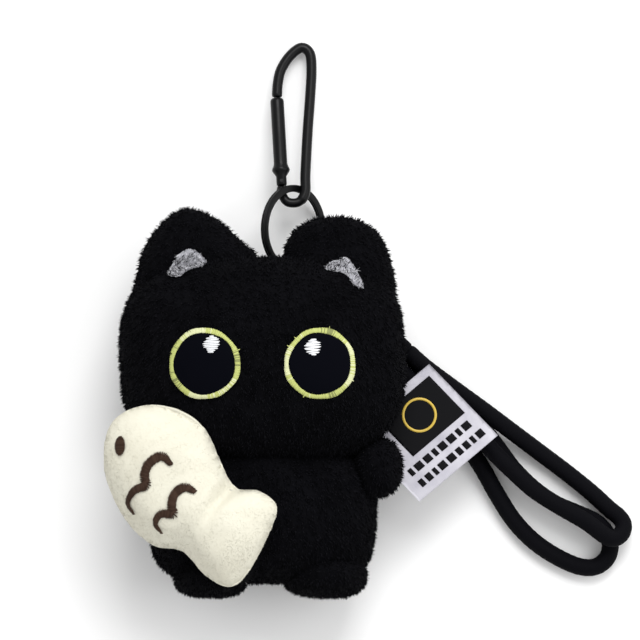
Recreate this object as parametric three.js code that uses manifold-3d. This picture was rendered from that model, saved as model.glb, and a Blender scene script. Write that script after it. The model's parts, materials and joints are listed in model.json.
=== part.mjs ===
// Plush cat keychain with a fish, a split ring, a carabiner and a wrist strap.
// It lies on its back: millimetres, +X to the viewer's right, +Y towards the carabiner, +Z up.
// The origin is the centre of the flat spot on the back of the head.
import * as THREE from 'three';
import { mergeVertices } from 'three/addons/utils/BufferGeometryUtils.js';
import Module from 'manifold-3d';

const wasm = await Module();
wasm.setup();

// ---------- driving dimensions ----------
const GAP = 0.3;                 // clearance between pieces that touch
const CLOTH = 1.2;               // plush fabric with its backing
const PATCH = 0.7;               // embroidered and appliqued pieces
const SIDES = 28;                // points round a large cushion's outline
const LIMB_SIDES = 18;           // points round an arm or a leg

const HEAD = {
  x: 0, y: -2.7, halfWidth: 39.8, up: 31.2, down: 27, roundUp: 3.5, roundDown: 2.6,
  seam: 25, front: 22, back: 25, frontFull: 2.2, backFull: 1.65, flat: 0.28,
};
const TORSO = {
  x: 0, y: -40, halfWidth: 31.6, up: 25, down: 22.8, roundUp: 2.6, roundDown: 4,
  seam: 20, front: 19, back: 20, frontFull: 2.2, backFull: 2.2, flat: 0.4,
};
const LEG = {
  y: -56, up: 12, down: 10.4, roundUp: 2, roundDown: 2.6,
  seam: 19, front: 16, back: 15, frontFull: 2.2, backFull: 2.2, flat: 0,
};
const LEG_LEFT = { ...LEG, x: -14, halfWidth: 11.4 };
const LEG_RIGHT = { ...LEG, x: 16.2, halfWidth: 12.9 };
const ARM = {
  x: 31.5, y: -30, halfWidth: 7.4, up: 8.5, down: 8.5, roundUp: 2.2, roundDown: 2.2,
  seam: 25.5, front: 8, back: 6.5, frontFull: 2, backFull: 2, flat: 0,
};
const EAR = { seam: 23, front: 11, back: 8, frontFull: 2.2, backFull: 2.2, flat: 0 };
const EYE = { spread: 16, y: -1.1, radius: 10.1, ring: 1.5 };
const FISH = {
  x: -18, y: -38, z: 41.6, tilt: -8,
  seam: 0, front: 9.5, back: 4.5, frontFull: 2.3, backFull: 2.2, flat: 0,
};

const RING = { x: 8.5, y: 36.5, z: 10.2, outer: 12.5, radial: 2, axial: 1.5, turn: 46 };
const WIRE = 1.3;               // half thickness of the carabiner's frame
const CARABINER = { x: 8.3, y: 47.1, slope: -11 };
const GATE = { x: -3.1, y: 2.9, length: 23.9, radius: 1.8, bore: 1, lean: 3.2, cheek: 0.8, slot: 1.4 };
const PIN = { radius: 0.5, hole: 0.8 };

const CORD = 4.8;                // strap cord diameter
const CORD_STEPS = 38;           // steps along each strap loop
const CUFF = { x: 38.7, y: -0.1, turn: -42, width: 10.8, depth: 7, height: 10.6 };
const LABEL = { z: 17.2, thickness: 0.6 };
const TAB = { width: 7, thickness: 0.9, opening: 4, inside: 3, reach: 9 };

const BLACK_PILE = [0x0d0d10, 0.95, 0];
const BLACK_METAL = [0x17181c, 0.35, 0.6];
const CREAM_PILE = [0xe9e5d2, 0.95, 0];
const STUFFING = [0xf4f4f0, 1, 0];

const keychain = new THREE.Group();

// ---------- helpers ----------
function addMesh(name, geometry, [color, roughness, metalness], parent = keychain) {
  const material = new THREE.MeshStandardMaterial({ color, roughness, metalness });
  const mesh = new THREE.Mesh(geometry, material);
  mesh.name = name;
  parent.add(mesh);
  return mesh;
}

function toSolid(geometry) {
  const bare = geometry.clone();
  bare.deleteAttribute('normal');
  bare.deleteAttribute('uv');
  const merged = mergeVertices(bare, 1e-4);
  return new wasm.Manifold(new wasm.Mesh({
    numProp: 3,
    vertProperties: new Float32Array(merged.attributes.position.array),
    triVerts: new Uint32Array(merged.index.array),
  }));
}

function toGeometry(solid) {
  const mesh = solid.getMesh();
  const geometry = new THREE.BufferGeometry();
  geometry.setAttribute('position', new THREE.BufferAttribute(mesh.vertProperties, 3));
  geometry.setIndex(new THREE.BufferAttribute(mesh.triVerts, 1));
  geometry.computeVertexNormals();
  return geometry;
}

function cut(geometry, cutters) {
  let solid = toSolid(geometry);
  for (const cutter of cutters) {
    solid = solid.subtract(toSolid(cutter));
  }
  return toGeometry(solid);
}

// Sweeps a profile of [scale, z] pairs round an outline given about its own centre.
// A profile that starts at scale 0 is capped at both ends; any other closes on itself.
function loft(outline, profile, surface = () => 0) {
  const positions = [];
  const rings = [];
  for (const [scale, z] of profile) {
    const scaled = outline.map((p) => p.clone().multiplyScalar(scale));
    const points = scale === 0 ? [new THREE.Vector2()] : scaled;
    rings.push({ start: positions.length / 3, count: points.length });
    for (const p of points) {
      positions.push(p.x, p.y, z + surface(p.x, p.y));
    }
  }
  const index = [];
  const at = (ring, step) => ring.start + (ring.count === 1 ? 0 : step);
  const last = profile[0][0] === 0 ? rings.length - 1 : rings.length;
  for (let k = 0; k < last; k++) {
    const upper = rings[k];
    const lower = rings[(k + 1) % rings.length];
    for (let i = 0; i < outline.length; i++) {
      const j = (i + 1) % outline.length;
      if (lower.count > 1) {
        index.push(at(upper, i), at(lower, i), at(lower, j));
      }
      if (upper.count > 1) {
        index.push(at(upper, i), at(lower, j), at(upper, j));
      }
    }
  }
  const geometry = new THREE.BufferGeometry();
  geometry.setAttribute('position', new THREE.Float32BufferAttribute(positions, 3));
  geometry.setIndex(index);
  geometry.computeVertexNormals();
  return geometry;
}

// Superellipse radius of a cushion's outline, with its own roundness above and below.
function reachAt(spec, dx, dy) {
  const power = dy >= 0 ? spec.roundUp : spec.roundDown;
  const tall = dy >= 0 ? spec.up : spec.down;
  return (Math.abs(dx / spec.halfWidth) ** power + Math.abs(dy / tall) ** power) ** (1 / power);
}

function roundOutline(spec, sides) {
  return Array.from({ length: sides }, (_, i) => {
    const angle = (i / sides) * Math.PI * 2;
    const direction = new THREE.Vector2(Math.cos(angle), Math.sin(angle));
    return direction.divideScalar(reachAt(spec, direction.x, direction.y));
  });
}

function smoothPath(points, closed = false) {
  const places = points.map(([x, y, z = 0]) => new THREE.Vector3(x, y, z));
  return new THREE.CatmullRomCurve3(places, closed, 'centripetal');
}

function drawnOutline(points, centre, sides) {
  const outline = smoothPath(points, true).getSpacedPoints(sides).slice(0, sides)
    .map((p) => new THREE.Vector2(p.x - centre.x, p.y - centre.y));
  return THREE.ShapeUtils.isClockWise(outline) ? outline.reverse() : outline;
}

// Height of a crowned half above its seam.
function crown(scale, depth, full, flat) {
  const t = Math.min(1, Math.max(0, (scale - flat) / (1 - flat)));
  return depth * (1 - t ** full) ** (1 / full);
}

function halfProfile(spec, side, steps) {
  const depth = side > 0 ? spec.front : spec.back;
  const full = side > 0 ? spec.frontFull : spec.backFull;
  const flat = side > 0 ? 0 : spec.flat;
  const profile = [[0, spec.seam + side * depth]];
  for (let k = flat > 0 ? 0 : 1; k < steps; k++) {
    const scale = flat + (1 - flat) * Math.sin((k / steps) * Math.PI / 2);
    profile.push([scale, spec.seam + side * crown(scale, depth, full, flat)]);
  }
  return profile;
}

// A closed cushion, grown or shrunk by `grow` on every side.
function cushion(spec, grow, steps = 5, sides = SIDES) {
  const sized = {
    ...spec,
    halfWidth: spec.halfWidth + grow,
    up: spec.up + grow,
    down: spec.down + grow,
    front: spec.front + grow,
    back: spec.back + grow,
  };
  const outline = spec.outline
    ? spec.outline.map((p) => p.clone().multiplyScalar(1 + grow / spec.least))
    : roundOutline(sized, sides);
  const profile = [
    ...halfProfile(sized, 1, steps),
    [1, spec.seam],
    ...halfProfile(sized, -1, steps).reverse(),
  ];
  return loft(outline, profile).translate(spec.x, spec.y, 0);
}

function halfSpace(z, side) {
  const size = 300;
  return new THREE.BoxGeometry(size, size, size).translate(0, 0, z + side * size / 2);
}

// Front and back cloth panels with the stuffing between them. Each cutter is a function
// of the clearance that gives back a neighbour's solid, so the cloth keeps its thickness there.
function stuffedPiece(name, spec, cutters, material, parent, place = (g) => g) {
  const shaped = (grow, clear) => cutters.reduce(
    (solid, cutter) => solid.subtract(toSolid(cutter(clear))),
    toSolid(place(cushion(spec, grow))),
  );
  const shell = shaped(0, GAP).subtract(shaped(-CLOTH, GAP + CLOTH));
  for (const [end, side] of [['front', 1], ['back', -1]]) {
    const half = toSolid(place(halfSpace(spec.seam + side * GAP / 2, side)));
    addMesh(`${name}_${end}_panel`, toGeometry(shell.intersect(half)), material, parent);
  }
  addMesh(`${name}_stuffing`, toGeometry(shaped(-CLOTH - GAP, 2 * GAP + CLOTH)), STUFFING, parent);
}

// A thin piece of the given outline laid on a curved surface.
function pad(outline, centre, surface, lift, thickness, inner = 0) {
  const over = (x, y) => surface(centre.x + x, centre.y + y);
  const scales = inner > 0 ? [inner, 1] : [0, 0.5, 1];
  const profile = [
    ...scales.map((s) => [s, lift + thickness]),
    ...scales.toReversed().map((s) => [s, lift]),
  ];
  return loft(outline, profile, over).translate(centre.x, centre.y, 0);
}

// A stitched stroke, tapered at both ends, laid on a curved surface.
function stroke(points, width, surface, lift, thickness, steps) {
  const path = smoothPath(points);
  const positions = [];
  for (let k = 0; k <= steps; k++) {
    const t = k / steps;
    const half = width * (0.2 + 0.3 * Math.sin(Math.PI * t));
    const p = path.getPointAt(t);
    const along = path.getTangentAt(t);
    for (const [side, up] of [[1, 1], [-1, 1], [-1, 0], [1, 0]]) {
      const x = p.x - side * along.y * half;
      const y = p.y + side * along.x * half;
      positions.push(x, y, surface(x, y) + lift + up * thickness);
    }
  }
  const index = [0, 2, 1, 0, 3, 2];
  for (let k = 0; k < steps; k++) {
    for (let c = 0; c < 4; c++) {
      const a = 4 * k + c;
      const b = 4 * k + (c + 1) % 4;
      index.push(a, b, b + 4, a, b + 4, a + 4);
    }
  }
  const end = 4 * steps;
  index.push(end, end + 1, end + 2, end, end + 2, end + 3);
  const geometry = new THREE.BufferGeometry();
  geometry.setAttribute('position', new THREE.Float32BufferAttribute(positions, 3));
  geometry.setIndex(index);
  geometry.computeVertexNormals();
  return geometry;
}

function circle(radius, sides) {
  return Array.from({ length: sides }, (_, i) => {
    const angle = (i / sides) * Math.PI * 2;
    return new THREE.Vector2(radius * Math.cos(angle), radius * Math.sin(angle));
  });
}

function sweep(section, path, steps) {
  const options = { steps, extrudePath: path, bevelEnabled: false };
  return new THREE.ExtrudeGeometry(new THREE.Shape(section), options);
}

function mirrored(spec) {
  return { ...spec, x: -spec.x };
}

// ---------- cat ----------
const headAt = (clear) => cushion(HEAD, clear);
const torsoAt = (clear) => cushion(TORSO, clear);

function headFront(x, y) {
  const scale = reachAt(HEAD, x - HEAD.x, y - HEAD.y);
  return HEAD.seam + crown(scale, HEAD.front, HEAD.frontFull, 0);
}

function makeEar(side, points, centre) {
  const spec = { ...EAR, ...centre, least: 9, outline: drawnOutline(points, centre, 20) };
  const geometry = cut(cushion(spec, 0, 4), [headAt(GAP)]);
  addMesh(`ear_${side}`, geometry, BLACK_PILE);
  return (x, y) => {
    const dx = x - centre.x;
    const dy = y - centre.y;
    const angle = Math.atan2(dy, dx);
    const nearest = spec.outline.reduce((best, p) => {
      const off = Math.abs(Math.atan2(Math.sin(p.angle() - angle), Math.cos(p.angle() - angle)));
      return off < best.off ? { off, length: p.length() } : best;
    }, { off: Infinity, length: 1 });
    return EAR.seam + crown(Math.hypot(dx, dy) / nearest.length, EAR.front, EAR.frontFull, 0);
  };
}

function makeEarLining(side, centre, width, height, turn, surface) {
  const oval = circle(1, 16).map((p) => new THREE.Vector2(p.x * width / 2, p.y * height / 2));
  const outline = oval.map((p) => p.rotateAround(new THREE.Vector2(), THREE.MathUtils.degToRad(turn)));
  const geometry = pad(outline, centre, surface, GAP, PATCH);
  addMesh(`ear_lining_${side}`, cut(geometry, [headAt(GAP)]), [0xa3a3a8, 0.95, 0]);
}

function makeEye(side, centre, glint) {
  const groove = EYE.radius - EYE.ring;
  const inner = groove / EYE.radius;
  const ring = pad(circle(EYE.radius, 24), centre, headFront, GAP, PATCH, inner);
  const disc = pad(circle(groove - GAP, 24), centre, headFront, GAP, PATCH);
  const oval = circle(1, 10).map((p) => new THREE.Vector2(p.x * 2.2, p.y * 2.4));
  const spot = pad(oval, glint, headFront, 2 * GAP + PATCH, PATCH / 2);
  addMesh(`eye_ring_${side}`, ring, [0xd3d88f, 0.7, 0]);
  addMesh(`eye_disc_${side}`, disc, [0x06070c, 0.55, 0]);
  addMesh(`eye_glint_${side}`, spot, [0xf2f2ee, 0.8, 0]);
}

function makeCat() {
  stuffedPiece('head', HEAD, [], BLACK_PILE);
  stuffedPiece('torso', TORSO, [headAt], BLACK_PILE);

  const leftEar = makeEar('left', [
    [-36, 12], [-35, 24], [-32.6, 32], [-27, 39], [-20.7, 42], [-12.9, 39], [-6.2, 33],
    [-1.5, 27.5], [-6, 15], [-20, 10],
  ], { x: -20, y: 26 });
  const rightEar = makeEar('right', [
    [6.2, 27], [6.4, 32], [9.6, 36.4], [14.4, 39], [22.7, 39.7], [29.8, 37.2], [34.1, 32],
    [37, 20], [35, 10], [20, 8], [9, 15],
  ], { x: 22, y: 25 });
  makeEarLining('left', { x: -21, y: 28.4 }, 11, 7.5, 12, leftEar);
  makeEarLining('right', { x: 23, y: 27 }, 10, 8, -18, rightEar);

  makeEye('left', { x: -EYE.spread, y: EYE.y }, { x: -EYE.spread + 1.9, y: EYE.y + 5.4 });
  makeEye('right', { x: EYE.spread, y: EYE.y }, { x: EYE.spread - 2, y: EYE.y + 4.6 });

  for (const [side, leg, arm] of [['left', LEG_LEFT, mirrored(ARM)], ['right', LEG_RIGHT, ARM]]) {
    const foot = cut(cushion(leg, 0, 3, LIMB_SIDES), [torsoAt(GAP)]);
    const hand = cut(cushion(arm, 0, 3, LIMB_SIDES), [torsoAt(GAP), headAt(GAP)]);
    addMesh(`leg_${side}`, foot, BLACK_PILE);
    addMesh(`arm_${side}`, hand, BLACK_PILE);
  }
}

// ---------- fish ----------
function makeFish() {
  const holder = new THREE.Group();
  holder.position.set(FISH.x, FISH.y, FISH.z);
  holder.rotation.y = THREE.MathUtils.degToRad(FISH.tilt);
  holder.updateMatrix();
  keychain.add(holder);

  const outline = drawnOutline([
    [-26, 7], [-25.2, 18], [-20.5, 23.4], [-12.5, 25.5], [-4, 23.6], [2.5, 18.5], [6.8, 9.5],
    [10.6, 2.6], [17.5, 1.6], [22.3, -2.6], [20.4, -9.6], [14.6, -20.6], [9.2, -25],
    [2.5, -22], [-4, -15.2], [-12.6, -13.4], [-20.8, -5.4],
  ], { x: 0, y: 0 }, 30);
  const spec = { ...FISH, x: 0, y: 0, least: 15, outline };
  const intoFish = holder.matrix.clone().invert();
  const neighbours = [headAt, torsoAt].map(
    (solid) => (clear) => solid(clear).applyMatrix4(intoFish),
  );
  stuffedPiece('fish', spec, neighbours, CREAM_PILE, holder);

  const fishFront = (x, y) => {
    const angle = Math.atan2(y, x);
    let reach = 0;
    outline.forEach((p, i) => {
      const q = outline[(i + 1) % outline.length];
      const across = p.x * q.y - p.y * q.x;
      const edge = (p.x * Math.sin(angle) - p.y * Math.cos(angle)) / across;
      const away = (q.y * Math.cos(angle) - q.x * Math.sin(angle)) / across;
      if (edge >= 0 && away >= 0) {
        reach = 1 / (edge + away);
      }
    });
    return crown(Math.hypot(x, y) / reach, FISH.front, FISH.frontFull, 0);
  };
  const oval = circle(1, 12).map((p) => new THREE.Vector2(p.x * 1.6, p.y * 2.6));
  const fishEye = pad(oval, { x: -20.6, y: 14 }, fishFront, GAP, PATCH);
  addMesh('fish_eye', fishEye, [0x3c2a20, 0.8, 0], holder);
  const marks = {
    fish_mark_upper: [
      [-6, 9], [-8.8, 11.3], [-12.4, 9], [-13.4, 5.4], [-12.8, 3.4], [-16.4, 1.8], [-18.4, -1.6],
      [-16.8, -4.6],
    ],
    fish_mark_lower: [
      [0.6, 1.4], [-2.2, 2.7], [-5, 0.8], [-5.8, -2.8], [-5.3, -4.6], [-9, -4.6], [-10.6, -7.2],
      [-9, -9.8],
    ],
  };
  for (const [name, points] of Object.entries(marks)) {
    const mark = stroke(points, 2.3, fishFront, GAP, PATCH, 14);
    addMesh(name, mark, [0x46281c, 0.85, 0], holder);
  }
}

// ---------- ring, hang tab and carabiner ----------
function ringTangent() {
  const turn = THREE.MathUtils.degToRad(RING.turn);
  return new THREE.Vector3(Math.cos(turn), 0, -Math.sin(turn));
}

function makeRing() {
  const middle = RING.outer - RING.radial / 2;
  const section = circle(1, 8).map(
    (p) => new THREE.Vector2(middle + p.x * RING.radial / 2, p.y * RING.axial / 2),
  );
  section.push(section[0].clone());
  const geometry = new THREE.LatheGeometry(section, 32);
  const along = ringTangent();
  const up = new THREE.Vector3(0, 1, 0);
  const basis = new THREE.Matrix4().makeBasis(along, up.clone().cross(along), up);
  geometry.applyMatrix4(basis).translate(RING.x, RING.y, RING.z);
  addMesh('split_ring', geometry, BLACK_METAL);
}

// A ribbon loop round the ring's lowest point, its two legs sewn to the back of the head.
function makeHangTab() {
  const low = -RING.outer + RING.radial / 2;
  const shape = new THREE.Shape();
  const half = TAB.opening / 2;
  const loopOutline = (path, wall) => {
    const h = half + wall;
    const top = TAB.inside + wall;
    path.moveTo(-TAB.reach - wall, -h);
    path.lineTo(top - h, -h);
    path.absarc(top - h, 0, h, -Math.PI / 2, Math.PI / 2, false);
    path.lineTo(-TAB.reach - wall, h);
    path.closePath();
    return path;
  };
  loopOutline(shape, TAB.thickness);
  shape.holes.push(loopOutline(new THREE.Path(), 0));
  const options = { depth: TAB.width, steps: 1, bevelEnabled: false, curveSegments: 6 };
  const geometry = new THREE.ExtrudeGeometry(shape, options).translate(0, 0, -TAB.width / 2);
  const along = ringTangent();
  const up = new THREE.Vector3(0, 1, 0);
  const basis = new THREE.Matrix4().makeBasis(up, along.clone().cross(up), along);
  geometry.applyMatrix4(basis).translate(RING.x, RING.y + low, RING.z);
  addMesh('hang_tab', cut(geometry, [headAt(GAP)]), [0x101013, 0.9, 0]);
}

function makeCarabiner() {
  const holder = new THREE.Group();
  holder.position.set(CARABINER.x, CARABINER.y, RING.z);
  holder.rotation.x = THREE.MathUtils.degToRad(CARABINER.slope);
  keychain.add(holder);

  const frame = smoothPath([
    [-4.4, 27.6], [-4.2, 31], [-3.3, 35], [-0.8, 39], [2.4, 41.4], [4.8, 39.8], [5.3, 35],
    [4.9, 27], [4.2, 17], [3.6, 5], [3.5, -0.4], [1.7, -3], [-1.4, -3], [GATE.x, -0.6],
    [GATE.x, GATE.y - 1.9],
  ]);
  const tongue = new THREE.BoxGeometry(2 * GATE.radius - 1.2, 3.4, GATE.cheek)
    .translate(GATE.x, GATE.y - 0.6, 0);
  const hole = new THREE.CylinderGeometry(PIN.hole, PIN.hole, 10, 12)
    .rotateX(Math.PI / 2).translate(GATE.x, GATE.y, 0);
  const rod = toSolid(sweep(circle(WIRE, 8), frame, 40));
  const drilled = rod.add(toSolid(tongue)).subtract(toSolid(hole));
  addMesh('carabiner_frame', toGeometry(drilled), BLACK_METAL, holder);

  const pivot = new THREE.Group();
  pivot.position.set(GATE.x, GATE.y, 0);
  pivot.rotation.z = THREE.MathUtils.degToRad(GATE.lean);
  holder.add(pivot);
  const r = GATE.radius;
  const end = GATE.length;
  const profile = [
    [0, -1.3], [1.45, -1.3], [1.45, 1.6], [2.5, 3.2], [r, 5], [r, end], [0, end],
  ].map(([x, y]) => new THREE.Vector2(x, y));
  const sleeve = new THREE.LatheGeometry(profile, 12);
  const bore = new THREE.CylinderGeometry(GATE.bore, GATE.bore, 12, 10).translate(0, 8, 0);
  const slot = new THREE.BoxGeometry(8, 6, GATE.slot);
  const pinHole = new THREE.CylinderGeometry(PIN.hole, PIN.hole, 10, 12).rotateX(Math.PI / 2);
  const pin = new THREE.CylinderGeometry(PIN.radius, PIN.radius, 3.2, 10).rotateX(Math.PI / 2);
  const spring = new THREE.CylinderGeometry(0.6, 0.6, 9, 8).translate(0, 8, 0);
  addMesh('carabiner_gate', cut(sleeve, [bore, slot, pinHole]), BLACK_METAL, pivot);
  addMesh('gate_pin', pin, [0x2a2b30, 0.4, 0.8], pivot);
  addMesh('gate_spring', spring, [0x8b8d92, 0.4, 0.9], pivot);
}

// ---------- strap and label ----------
const LOOP_UPPER = [
  [41, 1.8, 7.7], [45.6, -2.3, 7.6], [53.9, -8.5, 7.5], [62, -14.4, 7.4], [70.8, -21, 5],
  [78, -26.4, 2.9], [85.2, -31.8, 2.5], [92.4, -37.6, 2.5], [97.2, -42, 2.7], [100.3, -44.6, 3.3],
  [101.5, -46.9, 4.4], [100.7, -49.3, 6], [98.4, -50.5, 7.5], [95.8, -49.4, 8.1], [90.6, -45.6, 7.8],
  [83, -41.2, 7.6], [76.2, -36.8, 7.6], [70.6, -31.8, 7.6], [65.4, -26.8, 7.6], [60.4, -21.4, 7.6],
  [53.2, -14.8, 7.6], [45, -9.2, 7.6], [37.4, -2.3, 7.7],
];
const LOOP_LOWER = [
  [41, 1.8, 2.5], [45.8, -3.6, 2.5], [53.4, -11, 2.5], [60.5, -18, 2.5], [65.8, -24.6, 2.5],
  [70.2, -30.6, 2.5], [75.8, -36.2, 2.5], [82, -40.6, 2.5], [88.4, -43.4, 2.5], [93.2, -45.6, 2.5],
  [96.4, -48.6, 2.5], [97.8, -52.4, 2.5], [96.8, -56.2, 2.5], [93.4, -58.6, 2.5], [88.5, -58.3, 2.5],
  [81.8, -55.2, 2.5], [75.6, -50.8, 2.5], [70.4, -45.2, 2.5], [65.8, -38, 2.5], [61, -29.6, 2.5],
  [54.4, -20.4, 2.5], [45.8, -11.6, 2.5], [37.4, -2.3, 2.5],
];

function makeStrap() {
  const section = circle(CORD / 2, 8);
  const loops = { strap_loop_upper: LOOP_UPPER, strap_loop_lower: LOOP_LOWER };
  for (const [name, route] of Object.entries(loops)) {
    addMesh(name, sweep(section, smoothPath(route), CORD_STEPS), [0x121316, 0.85, 0]);
  }
  const cuff = new THREE.BoxGeometry(CUFF.depth, CUFF.width, CUFF.height)
    .translate(-CUFF.depth / 2, 0, CUFF.height / 2 + 0.1)
    .rotateZ(THREE.MathUtils.degToRad(CUFF.turn))
    .translate(CUFF.x, CUFF.y, 0);
  addMesh('strap_cuff', cut(cuff, [headAt(GAP)]), [0x101013, 0.9, 0]);
}

function makeLabel() {
  const shape = new THREE.Shape([
    [46.6, -1.3], [39.4, -7.4], [33, -21.5], [33, -28.6], [43.9, -39.9], [65.9, -21.3],
  ].map(([x, y]) => new THREE.Vector2(x, y)));
  const options = { depth: LABEL.thickness, bevelEnabled: false };
  const geometry = new THREE.ExtrudeGeometry(shape, options).translate(0, 0, LABEL.z);
  addMesh('woven_label', geometry, [0xc9c7ce, 0.45, 0]);
}

makeCat();
makeFish();
makeRing();
makeHangTab();
makeCarabiner();
makeStrap();
makeLabel();

export default keychain;
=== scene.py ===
"""Looks for the plush cat keychain: plush cloth and pile, embroidery, cord, label and clip.

Metres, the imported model's frame: the cat lies on its back, +Z up, +Y towards the carabiner.
Lengths written in this file are millimetres times MM.
"""
import json
import math

import bmesh
import bpy
import numpy as np
from mathutils import Matrix, Vector, noise
from mathutils.bvhtree import BVHTree
from mathutils.geometry import delaunay_2d_cdt


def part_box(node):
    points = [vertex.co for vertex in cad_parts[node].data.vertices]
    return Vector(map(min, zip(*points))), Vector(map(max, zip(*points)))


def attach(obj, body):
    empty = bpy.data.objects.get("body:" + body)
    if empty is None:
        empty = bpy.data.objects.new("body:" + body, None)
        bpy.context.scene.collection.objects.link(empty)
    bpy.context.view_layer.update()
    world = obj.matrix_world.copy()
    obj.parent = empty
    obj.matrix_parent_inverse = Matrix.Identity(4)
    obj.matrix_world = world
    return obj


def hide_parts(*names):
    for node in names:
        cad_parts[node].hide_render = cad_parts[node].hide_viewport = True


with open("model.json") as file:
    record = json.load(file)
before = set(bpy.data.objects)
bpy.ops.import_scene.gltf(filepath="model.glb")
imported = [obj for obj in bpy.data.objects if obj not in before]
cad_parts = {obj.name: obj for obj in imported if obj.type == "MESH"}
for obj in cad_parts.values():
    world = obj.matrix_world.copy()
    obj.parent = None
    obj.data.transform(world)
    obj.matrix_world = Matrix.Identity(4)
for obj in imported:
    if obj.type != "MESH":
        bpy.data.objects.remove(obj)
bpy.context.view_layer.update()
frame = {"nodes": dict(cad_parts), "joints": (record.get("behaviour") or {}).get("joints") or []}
JOINTS = {joint["name"]: joint for joint in frame["joints"]}
MM = 0.001

CORD = 4.8 * MM
EYE_RADIUS = 10.1 * MM
EYE_RING = 1.5 * MM
PILE_MATERIALS = {
    "black_pile": ["black_pile", "black_pile_tip"],
    "grey_pile": ["grey_pile_tip", "grey_pile"],
    "cream_pile": ["cream_pile", "cream_pile_tip"],
}


# ---- materials
def principled(name, color, roughness, specular):
    mat = bpy.data.materials.new(name)
    mat.use_nodes = True
    shader = mat.node_tree.nodes["Principled BSDF"]
    shader.inputs["Base Color"].default_value = (*color, 1)
    shader.inputs["Roughness"].default_value = roughness
    shader.inputs["Specular IOR Level"].default_value = specular
    return mat


def add_node(mat, kind, joined=(), **inputs):
    """A shader node with its inputs set, and its inputs joined to other nodes' outputs."""
    node = mat.node_tree.nodes.new(f"ShaderNode{kind}")
    for name, value in inputs.items():
        node.inputs[name.replace("_", " ")].default_value = value
    for output, name in joined:
        mat.node_tree.links.new(output, node.inputs[name])
    return node


def to_shader(mat, output, socket):
    mat.node_tree.links.new(output, mat.node_tree.nodes["Principled BSDF"].inputs[socket])


def object_noise(mat, scale, detail=4.0, stretch=(1, 1, 1)):
    place = add_node(mat, "TexCoord").outputs["Object"]
    mapping = add_node(mat, "Mapping", [(place, "Vector")], Scale=stretch)
    texture = add_node(mat, "TexNoise", [(mapping.outputs["Vector"], "Vector")], Scale=scale, Detail=detail)
    return texture.outputs["Fac"]


def woven(mat, threads):
    """Two crossed bands of threads, for ribbon and label."""
    place = add_node(mat, "TexCoord").outputs["Object"]
    mix = add_node(mat, "Math")
    mix.operation = "MULTIPLY"
    for index, axis in enumerate(("DIAGONAL", "X")):
        wave = add_node(mat, "TexWave", [(place, "Vector")], Scale=threads, Distortion=0.3)
        wave.bands_direction = axis
        mat.node_tree.links.new(wave.outputs["Fac"], mix.inputs[index])
    return mix.outputs[0]


def coloured(mat, factor, low, high):
    ramp = add_node(mat, "ValToRGB", [(factor, "Fac")])
    for stop, position, color in zip(ramp.color_ramp.elements, (0.3, 0.7), (low, high)):
        stop.position, stop.color = position, (*color, 1)
    to_shader(mat, ramp.outputs["Color"], "Base Color")


def roughened(mat, factor, low, high):
    spread = add_node(mat, "MapRange", [(factor, "Value")], To_Min=low, To_Max=high)
    to_shader(mat, spread.outputs["Result"], "Roughness")


def bumped(mat, height, distance):
    bump = add_node(mat, "Bump", [(height, "Height")], Distance=distance)
    to_shader(mat, bump.outputs["Normal"], "Normal")


# name: low and high colour, grain scale, grain height, specular level
CLOTHS = {
    "black_cloth": ((0.0010, 0.0010, 0.0016), (0.0024, 0.0024, 0.0034), 1500, 0.3 * MM, 0.06),
    "cream_cloth": ((0.67, 0.645, 0.535), (0.72, 0.70, 0.59), 1800, 0.06 * MM, 0.15),
    "grey_cloth": ((0.16, 0.16, 0.18), (0.55, 0.55, 0.59), 1500, 0.3 * MM, 0.5),
    "fill": ((0.75, 0.75, 0.73), (0.9, 0.9, 0.88), 700, 0.6 * MM, 0.5),
}
# name: colour, roughness, specular level
PLAINS = {
    "black_pile": ((0.0016, 0.0016, 0.0024), 0.85, 0.07),
    "black_pile_tip": ((0.0045, 0.0045, 0.0065), 0.8, 0.1),
    "cream_pile": ((0.70, 0.675, 0.565), 0.95, 0.1),
    "cream_pile_tip": ((0.73, 0.71, 0.60), 0.95, 0.1),
    "grey_pile": ((0.42, 0.42, 0.45), 0.7, 0.5),
    "grey_pile_tip": ((0.68, 0.68, 0.72), 0.7, 0.5),
    "eye_satin": ((0.0010, 0.0012, 0.0030), 0.7, 0.03),
    "thread_lime": ((0.50, 0.54, 0.17), 0.6, 0.5),
    "thread_straw": ((0.66, 0.68, 0.40), 0.6, 0.5),
    "thread_olive": ((0.26, 0.28, 0.09), 0.6, 0.5),
    "thread_white": ((0.74, 0.75, 0.77), 0.6, 0.5),
    "thread_brown": ((0.034, 0.017, 0.010), 0.7, 0.15),
    "thread_umber": ((0.050, 0.027, 0.017), 0.7, 0.15),
    "enamel": ((0.002, 0.002, 0.0025), 0.36, 0.16),
    "spring_steel": ((0.35, 0.35, 0.37), 0.3, 0.5),
    "ribbon": ((0.002, 0.002, 0.003), 0.8, 0.08),
    "cord": ((0.0018, 0.0018, 0.003), 0.8, 0.07),
    "satin": ((0.50, 0.49, 0.54), 0.42, 0.5),
    "print_black": ((0.003, 0.003, 0.004), 0.6, 0.1),
    "print_gold": ((0.60, 0.42, 0.06), 0.45, 0.5),
}


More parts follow.
